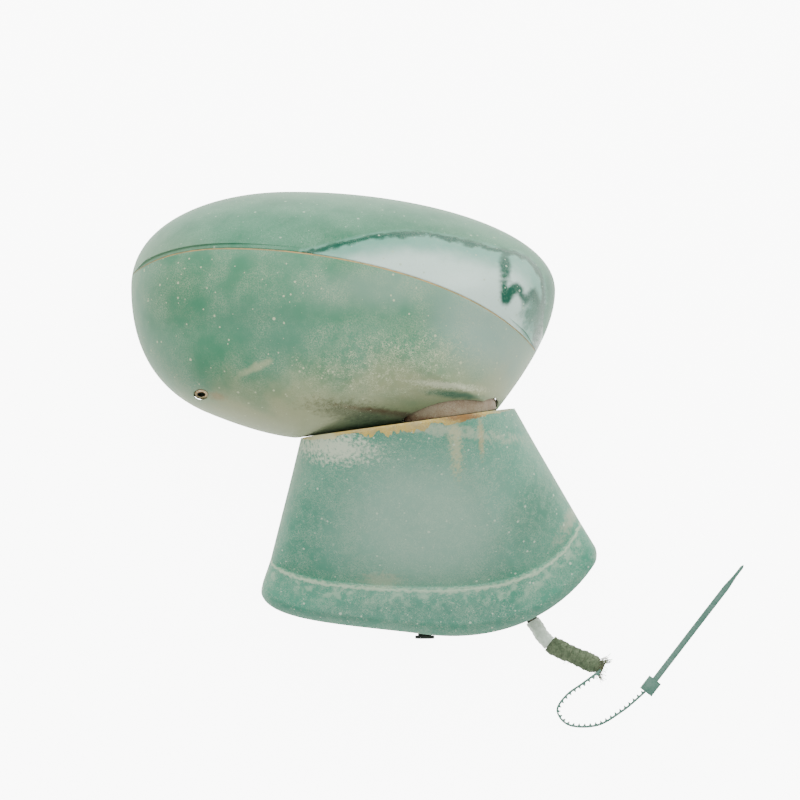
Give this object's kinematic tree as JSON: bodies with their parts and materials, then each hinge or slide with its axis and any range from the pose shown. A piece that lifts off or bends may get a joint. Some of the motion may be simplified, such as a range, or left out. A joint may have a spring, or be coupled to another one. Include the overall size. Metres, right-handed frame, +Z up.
{
  "type": "door mirror",
  "caption": "Weathered right-hand car door mirror on its door foot, with folding two-piece head, tilting electric glass and a cut-off wiring harness.",
  "frame": {"origin": "middle of the bracket face that lies on the door", "axes": "+X towards the car's front and right in the picture, +Y inward through the door, away from the viewer, +Z up"},
  "size_m": [0.3511, 0.126, 0.3063],
  "materials": {
    "green_paint": "weathered gloss under dust",
    "green_plastic": "matte, dusty and scratched",
    "chalky_plastic": "matte, chalked by the sun",
    "dark_plastic": "satin",
    "white_plastic": "satin",
    "rubber": "matte",
    "cast_alloy": "as cast",
    "steel": "zinc plated",
    "brass": "machined",
    "mirror": "polished",
    "cloth_tape": "woven cloth tape"
  },
  "bodies": {
    "foot": {"foot_cover": "chalky_plastic", "cable_tie": "dark_plastic", "label_sleeve": "white_plastic", "drain_plug": "rubber", "mount_gasket": "rubber", "harness_grommet": "rubber", "foot_bracket": "cast_alloy", "pivot_tube": "steel", "detent_ring": "steel", "spring_washer": "steel", "lock_nut": "steel", "mount_stud_1": "steel", "mount_stud_2": "steel", "mount_stud_3": "steel", "cover_screw_1": "steel", "cover_screw_2": "steel", "cover_screw_3": "steel", "harness": "cloth_tape", "foot_loom": "cloth_tape", "loom_tape": "cloth_tape"},
    "head": {"upper_cap": "green_paint", "lower_shell": "green_plastic", "drain_insert": "white_plastic", "glass_bezel": "dark_plastic", "head_frame": "cast_alloy", "frame_screw_1": "steel", "frame_screw_2": "steel", "frame_screw_3": "steel", "pivot_collar": "dark_plastic", "fold_spring": "steel", "actuator_housing": "dark_plastic", "actuator_cover": "dark_plastic", "actuator_screw_1": "steel", "actuator_screw_2": "steel", "actuator_screw_3": "steel", "worm_yaw": "brass", "motor_yaw": "steel", "worm_pitch": "brass", "motor_pitch": "steel", "actuator_connector": "white_plastic", "head_loom": "cloth_tape"},
    "gimbal": {"gimbal_ring": "dark_plastic"},
    "glass": {"mirror_glass": "mirror", "heater_pad": "rubber", "glass_carrier": "dark_plastic"},
    "jack_yaw": {"jack_screw_yaw": "steel"},
    "jack_pitch": {"jack_screw_pitch": "steel"},
    "gear_yaw": {"drive_gear_yaw": "white_plastic"},
    "gear_pitch": {"drive_gear_pitch": "white_plastic"}
  },
  "joints": [
    {"name": "head_fold", "type": "hinge", "parent": "foot", "child": "head", "pos_m": [0.0114, -0.054, 0.0647], "axis": [-0.1378, 0, 0.9905], "range_deg": [0, 130]},
    {"name": "glass_yaw", "type": "hinge", "parent": "head", "child": "gimbal", "pos_m": [-0.05, -0.028, 0.12], "axis": [0, 0, 1], "range_deg": [-7, 7]},
    {"name": "glass_pitch", "type": "hinge", "parent": "gimbal", "child": "glass", "pos_m": [-0.05, -0.028, 0.12], "axis": [1, 0, 0], "range_deg": [-7, 7]},
    {"name": "jack_yaw_travel", "type": "slide", "parent": "head", "child": "jack_yaw", "axis": [0, 1, 0], "range_m": [-0.0034, 0.0034]},
    {"name": "jack_pitch_travel", "type": "slide", "parent": "head", "child": "jack_pitch", "axis": [0, 1, 0], "range_m": [-0.0034, 0.0034]},
    {"name": "gear_yaw_turn", "type": "hinge", "parent": "head", "child": "gear_yaw", "pos_m": [-0.076, -0.047, 0.12], "axis": [0, 1, 0], "range_deg": [-290, 290]},
    {"name": "gear_pitch_turn", "type": "hinge", "parent": "head", "child": "gear_pitch", "pos_m": [-0.05, -0.047, 0.094], "axis": [0, 1, 0], "range_deg": [-290, 290]}
  ],
  "couplings": [
    {"joint": "jack_yaw_travel", "follows": "glass_yaw", "m_per_rad": -0.026},
    {"joint": "jack_pitch_travel", "follows": "glass_pitch", "m_per_rad": 0.026},
    {"joint": "gear_yaw_turn", "follows": "glass_yaw", "ratio": -40.841},
    {"joint": "gear_pitch_turn", "follows": "glass_pitch", "ratio": 40.841}
  ]
}
